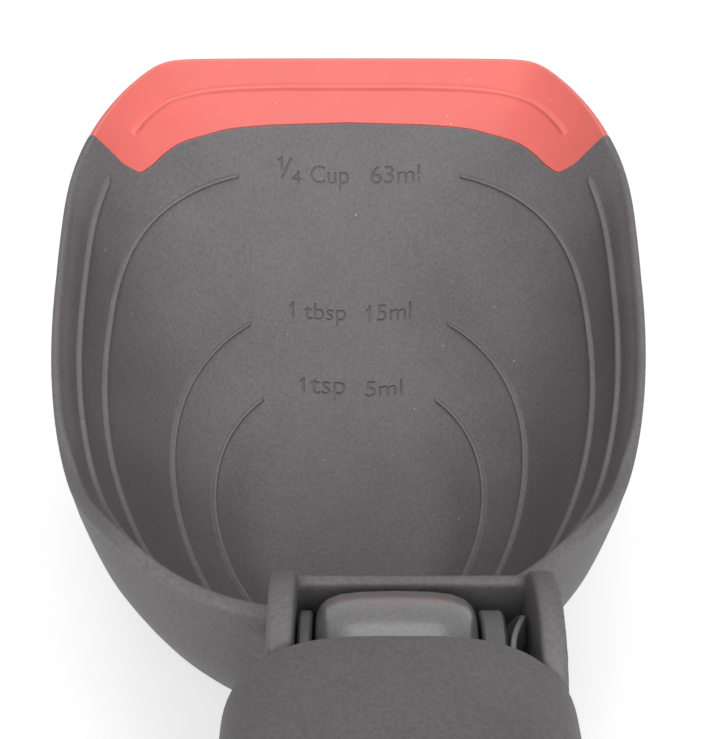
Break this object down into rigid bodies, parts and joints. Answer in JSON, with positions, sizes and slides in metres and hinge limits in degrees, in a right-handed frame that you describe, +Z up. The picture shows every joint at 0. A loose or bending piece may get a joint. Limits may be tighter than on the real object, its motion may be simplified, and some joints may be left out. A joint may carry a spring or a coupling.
{
  "type": "measuring spoon",
  "caption": "Deep cooking spoon with stepped measure lines inside, a red scraping lip and a handle that tilts up on a cross pin to make a ladle.",
  "frame": {"origin": "on the table under the middle of the spoon's box, with the spoon lying on the bowl's foot pad and the end of the handle", "axes": "+X to the right seen from the handle end, +Y from the handle towards the scraping lip, +Z up"},
  "size_m": [0.0822, 0.3024, 0.0727],
  "materials": {
    "grey_nylon": "fine spark-eroded moulding texture",
    "red_silicone": "satin silicone, over-moulded",
    "pin_steel": "turned stainless steel",
    "cap_nylon": "fine texture",
    "spring_steel": "blackened strip",
    "core_nylon": "glass-filled, dull",
    "acetal": "machined black acetal, slightly waxy"
  },
  "bodies": {
    "head": {"bowl": "grey_nylon", "scraper_lip": "red_silicone", "hinge_pin": "pin_steel", "pin_cap_left": "cap_nylon", "pin_cap_right": "cap_nylon", "wave_spring": "spring_steel"},
    "handle": {"handle_core": "core_nylon", "handle_upper_shell": "grey_nylon", "handle_lower_shell": "grey_nylon", "tongue_bush": "acetal", "spacer_collar": "acetal", "pressure_washer": "spring_steel", "handle_screw_front": "pin_steel", "handle_screw_middle": "pin_steel", "handle_screw_rear": "pin_steel", "hang_eyelet": "pin_steel"}
  },
  "joints": [
    {"name": "handle_tilt", "type": "hinge", "parent": "head", "child": "handle", "pos_m": [0.005, 0.04351, 0.02838], "axis": [-1, 0, 0], "range_deg": [0, 60]}
  ]
}
